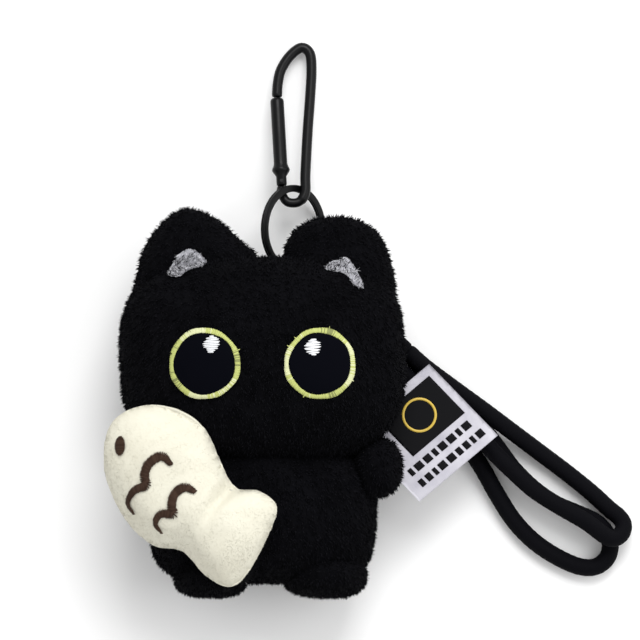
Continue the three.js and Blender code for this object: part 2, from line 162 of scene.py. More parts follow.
def make_materials():
    mats = {name: principled(name, *look) for name, look in PLAINS.items()}
    for name, (low, high, grain, height, specular) in CLOTHS.items():
        mats[name] = principled(name, high, 0.95, specular)
        coloured(mats[name], object_noise(mats[name], 90), low, high)
        bumped(mats[name], object_noise(mats[name], grain, 6), height)
    mats["spring_steel"].node_tree.nodes["Principled BSDF"].inputs["Metallic"].default_value = 1.0
    bumped(mats["eye_satin"], object_noise(mats["eye_satin"], 900, 3, (0.25, 1, 1)), 0.05 * MM)
    for name in ("enamel", "spring_steel"):
        roughened(mats[name], object_noise(mats[name], 600), 0.26, 0.42)
        bumped(mats[name], object_noise(mats[name], 1200, 2), 0.01 * MM)
    bumped(mats["ribbon"], woven(mats["ribbon"], 900), 0.1 * MM)
    bumped(mats["cord"], object_noise(mats["cord"], 1600, 3), 0.08 * MM)
    coloured(mats["satin"], object_noise(mats["satin"], 120), (0.40, 0.39, 0.45), (0.60, 0.59, 0.64))
    bumped(mats["satin"], woven(mats["satin"], 1500), 0.02 * MM)
    return mats


MATS = make_materials()


# ---- mesh helpers
def put(obj):
    bpy.context.scene.collection.objects.link(obj)


def add_piece(name, verts, faces, materials, body="plush", replaces=(), tones=None):
    """A smooth mesh piece that rides on a body; tones gives each face its material's number."""
    mesh = bpy.data.meshes.new(name)
    mesh.from_pydata([tuple(v) for v in verts], [], [tuple(f) for f in faces])
    for key in materials:
        mesh.materials.append(MATS[key])
    if tones is not None:
        mesh.polygons.foreach_set("material_index", np.asarray(tones, np.int32))
    mesh.polygons.foreach_set("use_smooth", np.full(len(mesh.polygons), True))
    mesh.update()
    piece = bpy.data.objects.new(name, mesh)
    put(piece)
    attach(piece, body)
    if replaces:
        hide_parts(*replaces)
    return piece


def mesh_lists(bm):
    """The vertices and faces of a bmesh, which is freed."""
    bm.verts.index_update()
    verts = [tuple(v.co) for v in bm.verts]
    faces = [tuple(v.index for v in f.verts) for f in bm.faces]
    bm.free()
    return verts, faces


def tube_faces(rings, around):
    """The side faces and the two end faces of a closed tube of rings."""
    faces = []
    for k in range(rings - 1):
        for j in range(around):
            i, n = k * around + j, k * around + (j + 1) % around
            faces.append((i, n, n + around, i + around))
    faces.append(tuple(reversed(range(around))))
    faces.append(tuple(range((rings - 1) * around, rings * around)))
    return faces


def sheet_faces(tris, count, rim):
    """A closed sheet's faces: a pattern, the same pattern below it, and a strip round the rim."""
    faces = [tuple(f) for f in tris] + [tuple(count + i for i in reversed(f)) for f in tris]
    return faces + [(i, count + i, count + (i + 1) % rim, (i + 1) % rim) for i in range(rim)]


def triangles_of(piece):
    mesh = piece.data
    mesh.calc_loop_triangles()
    co = np.empty(len(mesh.vertices) * 3)
    mesh.vertices.foreach_get("co", co)
    index = np.empty(len(mesh.loop_triangles) * 3, np.int32)
    mesh.loop_triangles.foreach_get("vertices", index)
    normal = np.array([v.normal for v in mesh.vertices])
    return co.reshape(-1, 3), normal, index.reshape(-1, 3)


def unit(vectors):
    return vectors / np.maximum(np.linalg.norm(vectors, axis=1, keepdims=True), 1e-12)


def grow_pile(name, source, per_mm2, length, radius, comb, slot, seed, keep, lift=0.55, mess=0.35):
    """Short pile on a piece: closed three-sided tufts that lean along the comb direction.

    keep(roots, normals) says which tufts stay. lift is how upright they are, mess how uneven.
    """
    rng = np.random.default_rng(seed)
    co, normal, tris = triangles_of(source)
    a, b, c = co[tris[:, 0]], co[tris[:, 1]], co[tris[:, 2]]
    area = np.linalg.norm(np.cross(b - a, c - a), axis=1) / 2
    count = int(area.sum() / MM ** 2 * per_mm2)
    pick = rng.choice(len(tris), count, p=area / area.sum())
    w = rng.dirichlet((1, 1, 1), count)
    root = np.einsum("ij,ijk->ik", w, np.stack([a[pick], b[pick], c[pick]], 1))
    up = unit(np.einsum("ij,ijk->ik", w, np.stack([normal[tris[pick, k]] for k in range(3)], 1)))
    kept = keep(root, up)
    root, up = root[kept], up[kept]
    n = len(root)
    nap = np.tile(np.asarray(comb, float), (n, 1))
    nap = nap - up * np.sum(nap * up, axis=1, keepdims=True)
    clump = np.stack([np.sin(root @ k * 1900 + p) for k, p in (
        (np.array([1, 0.3, 0.2]), 0.4), (np.array([-0.2, 1, 0.4]), 1.9), (np.array([0.3, -0.4, 1]), 3.1))], 1)
    lean = unit(up * lift + nap * (1 - lift) + clump * mess * 0.5 + rng.normal(0, mess * 0.5, (n, 3)))
    size = length * rng.uniform(0.55, 1.1, n)[:, None]
    side = unit(np.cross(lean, rng.normal(0, 1, (n, 3))))
    other = np.cross(lean, side)
    verts = []
    for k in range(3):
        angle = 2 * math.pi * k / 3
        verts.append(root - up * radius + radius * (side * math.cos(angle) + other * math.sin(angle)))
    verts.append(root + lean * size)
    verts = np.stack(verts, 1).reshape(-1, 3)
    first = np.arange(n)[:, None] * 4
    faces = np.concatenate([first + [0, 1, 3], first + [1, 2, 3], first + [2, 0, 3], first + [2, 1, 0]], 1)
    faces = faces.reshape(-1, 3)
    tones = np.repeat((rng.random(n) < 0.35).astype(int), 4)
    if n:
        add_piece(name, verts, faces, PILE_MATERIALS[slot], tones=tones)


def spline(p, corners, samples, end):
    """Fine points of a Catmull-Rom curve, and the distance along it, from the four points of each span."""
    fine = []
    for p0, p1, p2, p3 in (p[list(four)] for four in corners):
        for t in np.linspace(0, 1, samples, endpoint=False):
            fine.append(0.5 * (2 * p1 + (p2 - p0) * t + (2 * p0 - 5 * p1 + 4 * p2 - p3) * t ** 2
                               + (3 * p1 - p0 - 3 * p2 + p3) * t ** 3))
    fine = np.array(fine + [end])
    return fine, distances(fine)


def distances(path):
    """The distance along a path at each of its points."""
    return np.concatenate([[0], np.cumsum(np.linalg.norm(np.diff(path, axis=0), axis=1))])


def closed_curve(points, count):
    """Points spaced evenly along a closed curve through the given ones, in metres."""
    p = np.array(points, float) * MM
    n = len(p)
    fine, along = spline(p, [(i - 1, i, (i + 1) % n, (i + 2) % n) for i in range(n)], 24, p[0])
    at = np.linspace(0, along[-1], count, endpoint=False)
    return np.stack([np.interp(at, along, column) for column in fine.T], 1)


def open_curve(points, step):
    """Points spaced evenly along an open curve through the given ones, in metres."""
    p = np.array(points, float) * MM
    p = np.concatenate([[2 * p[0] - p[1]], p, [2 * p[-1] - p[-2]]])
    fine, along = spline(p, [(i - 1, i, i + 1, i + 2) for i in range(1, len(p) - 2)], 30, p[-2])
    at = np.linspace(0, along[-1], max(3, int(round(along[-1] / step)) + 1))
    return np.stack([np.interp(at, along, column) for column in fine.T], 1)


def carried_frames(path):
    """A pair of cross directions at each point of a path, turned as little as possible."""
    tangent = unit(np.gradient(path, axis=0))
    side = np.cross(tangent[0], (0, 0, 1.0))
    side = np.cross(tangent[0], (1.0, 0, 0)) if np.linalg.norm(side) < 0.1 else side
    sides = []
    for t in tangent:
        side = side - t * np.dot(side, t)
        side = side / np.linalg.norm(side)
        sides.append(side)
    sides = np.array(sides)
    return tangent, sides, np.cross(tangent, sides)


def rod(path, radius, around, relief):
    """A closed tube with rounded ends along a path. relief(turn, distance) adds to the radius."""
    tangent, side, other = carried_frames(path)
    along = distances(path)
    rings = [(path[k], side[k], other[k], radius, along[k]) for k in range(len(path))]
    for out, scale in ((0.45, 0.9), (0.85, 0.55)):
        first = path[0] - tangent[0] * radius * out * 0.5
        last = path[-1] + tangent[-1] * radius * out * 0.5
        rings.insert(0, (first, side[0], other[0], radius * scale, 0))
        rings.append((last, side[-1], other[-1], radius * scale, along[-1]))
    verts = []
    for centre, s, o, r, distance in rings:
        for j in range(around):
            turn = 2 * math.pi * j / around
            verts.append(centre + (r + relief(turn, distance)) * (s * math.cos(turn) + o * math.sin(turn)))
    return verts, tube_faces(len(rings), around)


def lathe(profile, around, matrix):
    """A closed solid of revolution about local Y, placed by a matrix. Profile in mm, axis to axis."""
    verts = [matrix @ Vector((0, profile[0][1] * MM, 0))]
    for r, y in profile[1:-1]:
        for j in range(around):
            turn = 2 * math.pi * j / around
            verts.append(matrix @ Vector((r * MM * math.cos(turn), y * MM, -r * MM * math.sin(turn))))
    verts.append(matrix @ Vector((0, profile[-1][1] * MM, 0)))
    faces = []
    rows = len(profile) - 2
    for j in range(around):
        n = (j + 1) % around
        faces.append((0, 1 + n, 1 + j))
        for k in range(rows - 1):
            a, b = 1 + k * around, 1 + (k + 1) * around
            faces.append((a + j, a + n, b + n, b + j))
        last = 1 + (rows - 1) * around
        faces.append((last + j, last + n, len(verts) - 1))
    return verts, faces


class Stitches:
    """Satin stitches: thin beads of thread laid side by side."""

    def __init__(self, seed):
        self.rng = np.random.default_rng(seed)
        self.verts, self.faces, self.tones = [], [], []

    def add(self, start, end, radius, up, tones=1, arch=0.0, tone=None):
        """One stitch. arch lifts its middle; tone is its material's number, or a random one of tones."""
        start, end, up = (np.asarray(v, float) for v in (start, end, up))
        axis = end - start
        side = np.cross(axis, up)
        side = side / np.linalg.norm(side)
        up = up / np.linalg.norm(up)
        tone = int(self.rng.integers(tones)) if tone is None else tone
        first = len(self.verts)
        stations = [(0.0, 0.35), (0.12, 0.85), (0.5, 1.0), (0.88, 0.85), (1.0, 0.35)]
        for t, scale in stations:
            centre = start + axis * t + up * arch * (1 - (2 * t - 1) ** 2)
            for j in range(6):
                turn = math.pi * j / 3
                self.verts.append(centre + radius * scale * (side * math.cos(turn) + up * math.sin(turn)))
        for k in range(len(stations) - 1):
            for j in range(6):
                i, n = first + 6 * k + j, first + 6 * k + (j + 1) % 6
                self.faces.append((i, i + 6, n + 6, n))
        self.faces.append(tuple(first + j for j in range(6)))
        self.faces.append(tuple(first + 24 + j for j in reversed(range(6))))
        self.tones += [tone] * 26

    def piece(self, name, materials, slot, replaces=()):
        add_piece(name, self.verts, self.faces, materials, replaces=replaces, tones=self.tones)


# ---- stuffed forms
SEAM_PINCH, SEAM_WIDTH = 0.7 * MM, 1.1 * MM


class Cushion:
    """A crowned form with a superellipse outline, a level seam and a flattened back.

    rounds are the outline's powers above and below the middle, fulls the front's and the back's.
    """

    def __init__(self, x, y, seam, half, up, down, rounds, front, back, fulls, flat):
        self.x, self.y, self.seam, self.half, self.up, self.down = x, y, seam, half, up, down
        self.rounds, self.front, self.back, self.fulls, self.flat = rounds, front, back, fulls, flat

    def reach(self, x, y):
        dx, dy = np.asarray(x) - self.x, np.asarray(y) - self.y
        power = np.where(dy >= 0, self.rounds[0], self.rounds[1])
        tall = np.where(dy >= 0, self.up, self.down)
        return (np.abs(dx / self.half) ** power + np.abs(dy / tall) ** power) ** (1 / power)

    def top(self, x, y):
        s = np.clip(self.reach(x, y), 0, 1)
        return self.seam + self.front * (1 - s ** self.fulls[0]) ** (1 / self.fulls[0])

    def bottom(self, x, y):
        s = np.clip((self.reach(x, y) - self.flat) / (1 - self.flat), 0, 1)
        return self.seam - self.back * (1 - s ** self.fulls[1]) ** (1 / self.fulls[1])

    def inside(self, p):
        return self.reach(p[:, 0], p[:, 1]) < 1

    def normal(self, x, y):
        e = 0.2 * MM
        slope_x = (self.top(x + e, y) - self.top(x - e, y)) / (2 * e)
        slope_y = (self.top(x, y + e) - self.top(x, y - e)) / (2 * e)
        return Vector((-float(slope_x), -float(slope_y), 1)).normalized()

    def mesh(self, cuts, lumps, seed, shrink=0.0):
        """A bmesh of the form, a cube blown up to it, with uneven filling and a pinched seam."""
        bm = bmesh.new()
        bmesh.ops.create_cube(bm, size=2)
        bmesh.ops.subdivide_edges(bm, edges=bm.edges[:], cuts=cuts, use_grid_fill=True)
        for v in bm.verts:
            d = Vector([math.tan(c * math.pi / 4) for c in v.co]).normalized()
            side = 0 if d.z >= 0 else 1
            power, full = self.rounds[0 if d.y >= 0 else 1], self.fulls[side]
            s = (abs(d.x) ** power + abs(d.y) ** power) ** (1 / power)
            k = 1 / (s ** full + abs(d.z) ** full) ** (1 / full)
            x = self.x + k * d.x * (self.half - shrink)
            y = self.y + k * d.y * ((self.up if d.y >= 0 else self.down) - shrink)
            z = self.seam + k * d.z * (self.front - shrink)
            if side:
                z = float(self.bottom(x, y)) + shrink
            v.co = (x, y, z)
        bm.normal_update()
        offset = Vector((seed * 7.3, seed * 3.1, seed))
        for v in bm.verts:
            lump = noise.noise(v.co * 70 + offset) * lumps
            pinch = -SEAM_PINCH * math.exp(-((v.co.z - self.seam) / SEAM_WIDTH) ** 2)
            room = min(1.0, max(0.0, v.co.z / (2 * MM)))  # none on the flat spot that it lies on
            v.co += v.normal * (lump + pinch) * room
        return bm


def thicken(piece, thickness):
    solid = piece.modifiers.new("cloth_thickness", "SOLIDIFY")
    solid.thickness, solid.offset = thickness, -1


def split_at_seam(name, bm, seam, nodes):
    """Front and back panels of a stuffed form, each a closed piece of cloth."""
    pieces = []
    for end, side, node in (("front", 1, nodes[0]), ("back", -1, nodes[1])):
        part = bm.copy()
        away = [f for f in part.faces if (f.calc_center_median().z - seam) * side < 0]
        bmesh.ops.delete(part, geom=away, context="FACES")
        verts, faces = mesh_lists(part)
        piece = add_piece(f"{name}_{end}", verts, faces, ["black_cloth"], replaces=[node])
        thicken(piece, 1.0 * MM)
        pieces.append(piece)
    return pieces


def fill_piece(name, form, node, seed):
    verts, faces = mesh_lists(form.mesh(14, 0.9 * MM, seed, shrink=2.2 * MM))
    add_piece(name, verts, faces, ["fill"], replaces=[node])


def form_from_boxes(front, back, waist, rounds, fulls, flat, seam=None):
    """The form that two CAD nodes hold; waist is how far up its widest line lies."""
    low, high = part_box(front)
    back_low, back_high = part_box(back)
    left, right = min(low.x, back_low.x), max(high.x, back_high.x)
    bottom, top = min(low.y, back_low.y), max(high.y, back_high.y)
    middle = bottom + waist * (top - bottom)
    seam = (low.z + back_high.z) / 2 if seam is None else seam
    return Cushion((left + right) / 2, middle, seam, (right - left) / 2, top - middle, middle - bottom,
                   rounds, high.z - seam, seam - back_low.z, fulls, flat)


def clear_of(others, root, margin):
    """True for the roots that no neighbouring form covers."""
    x, y, z = root.T
    free = np.full(len(root), True)
    for other in others:
        low, high = other.bottom(x, y) + margin, other.top(x, y) - margin
        free &= ~(other.inside(root[:, :2]) & (z < high) & (z > low))
    return free


# ---- camera, floor and light
CAMERA_PLACE = (16 * MM, 11 * MM, 2.508)
FLOOR_LEVEL = -0.2 * MM
LAMPS = (("key", (0.15, 0.85, 1.0), 0.7, 12), ("fill", (0.9, 0.1, 0.8), 0.9, 4))  # name, place, size, watts


def make_camera():
    """A long lens straight above, so that near and far parts keep their sizes."""
    data = bpy.data.cameras.new("camera")
    data.lens, data.sensor_width = 500, 36
    camera = bpy.data.objects.new("camera", data)
    camera.location = CAMERA_PLACE
    put(camera)
    bpy.context.scene.camera = camera


def make_studio():
    """A white floor, an even white sky and two soft lamps."""
    bpy.ops.mesh.primitive_plane_add(size=6, location=(0, 0, FLOOR_LEVEL))
    floor = bpy.context.object
    floor.name = "floor"
    floor.data.materials.append(principled("floor_white", (0.93, 0.93, 0.93), 1.0, 0.0))
    bpy.context.scene.view_settings.view_transform = "Standard"
    world = bpy.data.worlds.new("studio")
    world.use_nodes = True
    world.node_tree.nodes["Background"].inputs["Color"].default_value = (1, 1, 1, 1)
    world.node_tree.nodes["Background"].inputs["Strength"].default_value = 0.78
    bpy.context.scene.world = world
    for name, place, size, power in LAMPS:
        light = bpy.data.lights.new(name, "AREA")
        light.size, light.energy = size, power
        lamp = bpy.data.objects.new(name, light)
        lamp.location = place
        lamp.rotation_euler = (-Vector(place)).to_track_quat("-Z", "Y").to_euler()
        put(lamp)


# ---- strap
LOOP_UPPER = [
    (41, 1.8, 7.7), (45.6, -2.3, 7.6), (53.9, -8.5, 7.5), (62, -14.4, 7.4), (70.8, -21, 5),
    (78, -26.4, 2.9), (85.2, -31.8, 2.5), (92.4, -37.6, 2.5), (97.2, -42, 2.7), (100.3, -44.6, 3.3),
    (101.5, -46.9, 4.4), (100.7, -49.3, 6), (98.4, -50.5, 7.5), (95.8, -49.4, 8.1), (90.6, -45.6, 7.8),
    (83, -41.2, 7.6), (76.2, -36.8, 7.6), (70.6, -31.8, 7.6), (65.4, -26.8, 7.6), (60.4, -21.4, 7.6),
    (53.2, -14.8, 7.6), (45, -9.2, 7.6), (37.4, -2.3, 7.7),
]
LOOP_LOWER = [
    (41, 1.8, 2.5), (45.8, -3.6, 2.5), (53.4, -11, 2.5), (60.5, -18, 2.5), (65.8, -24.6, 2.5),
    (70.2, -30.6, 2.5), (75.8, -36.2, 2.5), (82, -40.6, 2.5), (88.4, -43.4, 2.5), (93.2, -45.6, 2.5),
    (96.4, -48.6, 2.5), (97.8, -52.4, 2.5), (96.8, -56.2, 2.5), (93.4, -58.6, 2.5), (88.5, -58.3, 2.5),
    (81.8, -55.2, 2.5), (75.6, -50.8, 2.5), (70.4, -45.2, 2.5), (65.8, -38, 2.5), (61, -29.6, 2.5),
    (54.4, -20.4, 2.5), (45.8, -11.6, 2.5), (37.4, -2.3, 2.5),
]


def make_cord(name, route, node):
    """A braided round cord along one loop of the strap."""
    path = open_curve(route, 0.45 * MM)
    strands, pitch = 12, 4 * MM

    def braid(turn, distance):
        a = math.sin(strands / 2 * turn + 2 * math.pi * distance / pitch)
        b = math.sin(strands / 2 * turn - 2 * math.pi * distance / pitch)
        return 0.05 * MM * (abs(a) + abs(b)) - 0.06 * MM

    verts, faces = rod(path, CORD / 2, 32, braid)
    piece = add_piece(name, verts, faces, ["cord"], replaces=[node])


def make_strap():
    make_cord("strap_cord_upper", LOOP_UPPER, "strap_loop_upper")
    make_cord("strap_cord_lower", LOOP_LOWER, "strap_loop_lower")


# ---- cat
HEAD = form_from_boxes("head_front_panel", "head_back_panel", 0.464, (3.5, 2.6), (2.2, 1.65), 0.28)
TORSO = form_from_boxes("torso_front_panel", "torso_back_panel", 0.477, (2.6, 4.0), (2.2, 2.2), 0.4)
ARM_LEFT, ARM_RIGHT = (form_from_boxes(node, node, 0.5, (2.2, 2.2), (2.0, 2.0), 0, 25.5 * MM)
                       for node in ("arm_left", "arm_right"))
LEG_LEFT, LEG_RIGHT = (form_from_boxes(node, node, 0.464, (2.0, 2.6), (2.2, 2.2), 0, 19 * MM)
                       for node in ("leg_left", "leg_right"))
EYES = {"left": (-16 * MM, -1.1 * MM), "right": (16 * MM, -1.1 * MM)}


def inside_outline(edge, p):
    """True for the points that a closed outline holds."""
    crossed = np.zeros(len(p), bool)
    for (ax, ay), (bx, by) in zip(edge, np.roll(edge, -1, axis=0)):
        if ay != by:
            spans = (p[:, 1] > min(ay, by)) & (p[:, 1] <= max(ay, by))
            crossed ^= spans & (p[:, 0] < ax + (p[:, 1] - ay) * (bx - ax) / (by - ay))
    return crossed


def flat_pattern(edge, low, spacing, seed):
    """A flat pattern in an outline: edge points first, then inner points, and its triangles."""
    rng = np.random.default_rng(seed)
    x = np.arange(low[0], edge[:, 0].max(), spacing)
    y = np.arange(low[1], edge[:, 1].max(), spacing * 0.87)
    grid = np.stack(np.meshgrid(x, y, indexing="ij"), -1)
    grid[:, 1::2, 0] += spacing / 2
    grid = grid.reshape(-1, 2) + rng.uniform(-0.12, 0.12, (grid.size // 2, 2)) * spacing
    grid = grid[inside_outline(edge, grid)]
    gap = np.min(np.linalg.norm(grid[:, None] - edge[None], axis=2), axis=1)
    points = np.concatenate([edge, grid[gap > 0.55 * spacing]])
    out = delaunay_2d_cdt([Vector(p) for p in points], [], [list(range(len(edge)))], 1, 1e-7)
    return np.array([tuple(v) for v in out[0]]), [tuple(f) for f in out[2]]


class Pillow:
    """Two flat-cut panels sewn round a drawn outline and blown up like a film."""

    def __init__(self, outline, count, seam, front, back, step=0.5 * MM):
        self.edge = closed_curve(outline, count)
        self.seam, self.front, self.back, self.step = seam, front, back, step
        self.low = self.edge.min(0) - 2 * step
        size = np.ceil((self.edge.max(0) - self.low) / step).astype(int) + 3
        gx, gy = np.meshgrid(np.arange(size[0]), np.arange(size[1]), indexing="ij")
        points = self.low + np.stack([gx, gy], -1) * step
        inside = self.inside(points.reshape(-1, 2)).reshape(gx.shape)
        film = np.zeros(gx.shape)
        for _ in range(2500):
            spread = np.zeros_like(film)
            spread[1:-1, 1:-1] = (film[:-2, 1:-1] + film[2:, 1:-1] + film[1:-1, :-2] + film[1:-1, 2:]) / 4
            film = np.where(inside, spread + 1, 0)
        self.film = np.sqrt(film / film.max())

    def inside(self, p):
        return inside_outline(self.edge, p)

    def rise(self, x, y):
        g = (np.stack([np.asarray(x, float), np.asarray(y, float)], -1) - self.low) / self.step
        g = np.clip(g, 0, np.array(self.film.shape) - 1.001)
        i = np.floor(g).astype(int)
        t = g - i
        f, ix, iy = self.film, i[..., 0], i[..., 1]
        low = f[ix, iy] * (1 - t[..., 0]) + f[ix + 1, iy] * t[..., 0]
        high = f[ix, iy + 1] * (1 - t[..., 0]) + f[ix + 1, iy + 1] * t[..., 0]
        return low * (1 - t[..., 1]) + high * t[..., 1]

    def top(self, x, y):
        return self.seam + self.front * self.rise(x, y)

    def bottom(self, x, y):
        return self.seam - self.back * self.rise(x, y)


def crumple(x, y, size, seed):
    return np.array([noise.noise(Vector((a / size, b / size, seed))) for a, b in zip(x, y)])


def closed_pillow(pillow, spacing, lumps, seed, shape=None):
    """Front and back of a pillow as one closed mesh: verts, faces."""
    flat, tris = flat_pattern(pillow.edge, pillow.low, spacing, seed)
    x, y = flat[:, 0], flat[:, 1]
    rise = pillow.rise(x, y)
    bump = crumple(x, y, 9 * MM, seed) * lumps * np.clip(rise * 2, 0, 1)
    front = np.stack([x, y, pillow.top(x, y) + bump], 1)
    back = np.stack([x, y, pillow.bottom(x, y) - bump], 1)
    if shape:
        front, back = shape(front, back)
    rim = len(pillow.edge)
    verts = np.concatenate([front, back[rim:]])
    below = {i: (i if i < rim else len(front) + i - rim) for i in range(len(front))}
    faces = [tuple(f) for f in tris] + [tuple(below[i] for i in reversed(f)) for f in tris]
    return verts, faces


EAR_LEFT = Pillow([
    (-36, 12), (-35, 24), (-32.6, 32), (-27, 39), (-20.7, 42), (-12.9, 39), (-6.2, 33),
    (-1.5, 27.5), (-6, 15), (-20, 10),
], 110, 23 * MM, 9.5 * MM, 8 * MM)
EAR_RIGHT = Pillow([
    (6.2, 27), (6.4, 32), (9.6, 36.4), (14.4, 39), (22.7, 39.7), (29.8, 37.2), (34.1, 32),
    (37, 20), (35, 10), (20, 8), (9, 15),
], 110, 23 * MM, 9.5 * MM, 8 * MM)

FISH_OUTLINE = [
    (-26, 7), (-25.2, 18), (-20.5, 23.4), (-12.5, 25.5), (-4, 23.6), (2.5, 18.5), (6.8, 9.5),
    (10.6, 2.6), (17.5, 1.6), (22.3, -2.6), (20.4, -9.6), (14.6, -20.6), (9.2, -25),
    (2.5, -22), (-4, -15.2), (-12.6, -13.4), (-20.8, -5.4),
]
FISH = Pillow(FISH_OUTLINE, 170, 0, 9.2 * MM, 4.2 * MM)
FISH_PLACE = np.array((-18, -38, 41.6)) * MM
FISH_COS, FISH_SIN = math.cos(math.radians(-8)), math.sin(math.radians(-8))


def fish_to_world(p):
    x, y, z = np.moveaxis(np.asarray(p, float), -1, 0)
    return np.stack([x * FISH_COS + z * FISH_SIN, y, -x * FISH_SIN + z * FISH_COS], -1) + FISH_PLACE


def world_to_fish(p):
    x, y, z = np.moveaxis(np.asarray(p, float) - FISH_PLACE, -1, 0)
    return np.stack([x * FISH_COS - z * FISH_SIN, y, x * FISH_SIN + z * FISH_COS], -1)


def under_fish(root):
    local = world_to_fish(root)
    return FISH.inside(local[:, :2]) & (local[:, 2] < 2 * MM)


def under_eye(root):
    hidden = np.zeros(len(root), bool)
    for x, y in EYES.values():
        near = np.hypot(root[:, 0] - x, root[:, 1] - y) < EYE_RADIUS - 0.3 * MM
        hidden |= near & (root[:, 2] > HEAD.seam)
    return hidden


def black_pile_on(name, sources, others, seed, bare=None):
    """Black pile, left out where a neighbour, the fish, the floor or the bare region covers it."""
    def keep(root, up):
        free = clear_of(others, root, 0.6 * MM) & ~under_fish(root)
        free &= root[:, 2] > 0.8 * MM
        return free & ~bare(root) if bare else free

    for index, source in enumerate(sources):
        grow_pile(f"{name}_{index + 1}" if len(sources) > 1 else name, source, 2.6, 1.35 * MM, 0.24 * MM,
                  (0.1, -1, 0.15), "black_pile", seed + index, keep)


def plain_form(name, form, node, cuts, seed):
    verts, faces = mesh_lists(form.mesh(cuts, 0.5 * MM, seed))
    piece = add_piece(name, verts, faces, ["black_cloth"], replaces=[node])
    return piece


def make_cat():
    head = split_at_seam("head_plush", HEAD.mesh(44, 0.9 * MM, 1), HEAD.seam,
                         ("head_front_panel", "head_back_panel"))
    torso = split_at_seam("torso_plush", TORSO.mesh(34, 0.8 * MM, 2), TORSO.seam,
                          ("torso_front_panel", "torso_back_panel"))
    fill_piece("head_fill", HEAD, "head_stuffing", 3)
    fill_piece("torso_fill", TORSO, "torso_stuffing", 4)
    limbs = [ARM_LEFT, ARM_RIGHT, LEG_LEFT, LEG_RIGHT]
    ears = [EAR_LEFT, EAR_RIGHT]
    black_pile_on("head_pile", head, [TORSO, *ears], 11, bare=under_eye)
    black_pile_on("torso_pile", torso, [HEAD, *limbs], 21)
    for name, form, others, seed in (
            ("arm_left", ARM_LEFT, [HEAD, TORSO], 31), ("arm_right", ARM_RIGHT, [HEAD, TORSO], 32),
            ("leg_left", LEG_LEFT, [TORSO], 33), ("leg_right", LEG_RIGHT, [TORSO], 34)):
        piece = plain_form(f"{name}_plush", form, name, 16, seed)
        black_pile_on(f"{name}_pile", [piece], others, seed)
    for name, form, seed in (("ear_left", EAR_LEFT, 41), ("ear_right", EAR_RIGHT, 43)):
        verts, faces = closed_pillow(form, 1.1 * MM, 0.8 * MM, seed)
        piece = add_piece(f"{name}_plush", verts, faces, ["black_cloth"], replaces=[name])
        black_pile_on(f"{name}_pile", [piece], [HEAD], seed, bare=on_lining)


# ---- ear linings
LININGS = {
    "left": ([
        (-25.8, 23.6), (-24.8, 26.8), (-22.9, 29.4), (-20.6, 30.7), (-18.2, 30.0), (-15.6, 27.2),
        (-17.2, 26.0), (-19.4, 25.4), (-21.5, 24.4), (-23.2, 23.2),
    ], EAR_LEFT),
    "right": ([
        (17.9, 25.0), (18.6, 26.8), (20.8, 27.6), (23.6, 28.3), (25.4, 26.0), (27.0, 23.2),
        (28.2, 20.0), (26.5, 20.2), (25.0, 21.8), (23.2, 23.7), (20.6, 24.8),
    ], EAR_RIGHT),
}
LINING_CUTS = {side: closed_curve(points, 70) for side, (points, _) in LININGS.items()}


def on_lining(root):
    covered = np.zeros(len(root), bool)
    for side, (_, form) in LININGS.items():
        covered |= inside_outline(LINING_CUTS[side], root[:, :2]) & (root[:, 2] > form.seam)
    return covered


def make_linings():
    """Grey patches on the ears, with long pale pile and black strands from the ear across it."""
    def facing(root, up):
        return up[:, 2] > 0.05

    for side, (_, form) in LININGS.items():
        edge = LINING_CUTS[side]
        flat, tris = flat_pattern(edge, edge.min(0) - MM, 0.7 * MM, 52)
        z = np.maximum(form.top(flat[:, 0], flat[:, 1]), HEAD.top(flat[:, 0], flat[:, 1]))
        verts = np.concatenate([np.column_stack([flat, z + 0.9 * MM]), np.column_stack([flat, z + 0.2 * MM])])
        pad = add_piece(f"ear_patch_{side}", verts, sheet_faces(tris, len(flat), len(edge)), ["grey_cloth"],
                        replaces=[f"ear_lining_{side}"])
        grow_pile(f"ear_patch_pile_{side}", pad, 8, 1.7 * MM, 0.12 * MM, (-0.7, -0.8, 0), "grey_pile", 51,
                  facing, lift=0.3, mess=0.55)
        grow_pile(f"ear_patch_strands_{side}", pad, 2.2, 2.6 * MM, 0.14 * MM, (-0.5, -0.9, 0), "black_pile",
                  53, facing, lift=0.25, mess=0.6)


# ---- eyes
def on_head(x, y, lift):
    return np.array((x, y, float(HEAD.top(x, y)) + lift))


